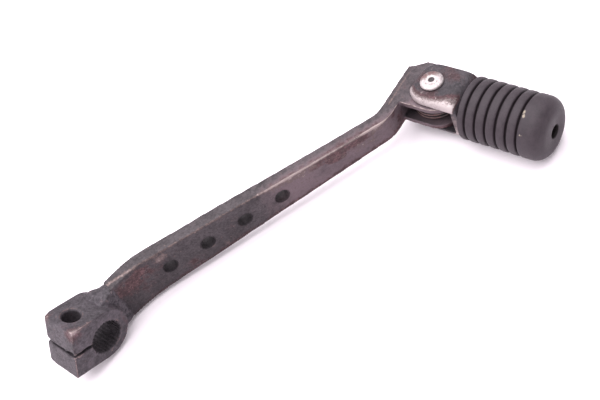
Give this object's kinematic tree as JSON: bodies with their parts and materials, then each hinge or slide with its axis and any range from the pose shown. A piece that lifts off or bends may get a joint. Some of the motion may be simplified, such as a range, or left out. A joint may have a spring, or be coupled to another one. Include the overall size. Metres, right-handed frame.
{
  "type": "foot gear shift lever",
  "caption": "Motorcycle foot shift lever: slit splined clamp head welded to a flat drilled arm, with a sprung folding toe peg in a ribbed rubber sleeve.",
  "frame": {"origin": "centre of the splined shaft bore, half way along it", "axes": "+Y inboard along the shaft, +X forward from the shaft to the toe peg, +Z along the folding hinge's rivet"},
  "size_m": [0.1661, 0.1116, 0.0271],
  "materials": {
    "head_steel": "worn dark finish, bright on the corners",
    "arm_steel": "worn dark finish with light rust",
    "weld_steel": "rough weld metal under a dark finish",
    "yoke_steel": "dark finish worn to bare metal along the rear edge",
    "rivet_steel": "bare steel, lightly spotted with rust",
    "inner_steel": "dull, dirty steel",
    "spring_steel": "rusty spring wire",
    "rubber": "matt moulded rubber"
  },
  "bodies": {
    "lever": {"clamp_head": "head_steel", "head_weld": "weld_steel", "arm": "arm_steel", "hinge_rivet": "rivet_steel", "spacer_sleeve": "inner_steel", "torsion_spring": "spring_steel"},
    "toe_peg": {"peg_bracket": "yoke_steel", "peg_stud": "inner_steel", "stud_weld": "weld_steel", "toe_rubber": "rubber"}
  },
  "joints": [
    {"name": "peg_fold", "type": "hinge", "parent": "lever", "child": "toe_peg", "pos_m": [0.135, -0.0574, 0], "axis": [0, 0, -1], "range_deg": [0, 78], "stiffness_Nm_per_rad": 0.3, "springref_deg": -68.75, "deforming": ["torsion_spring"]}
  ]
}
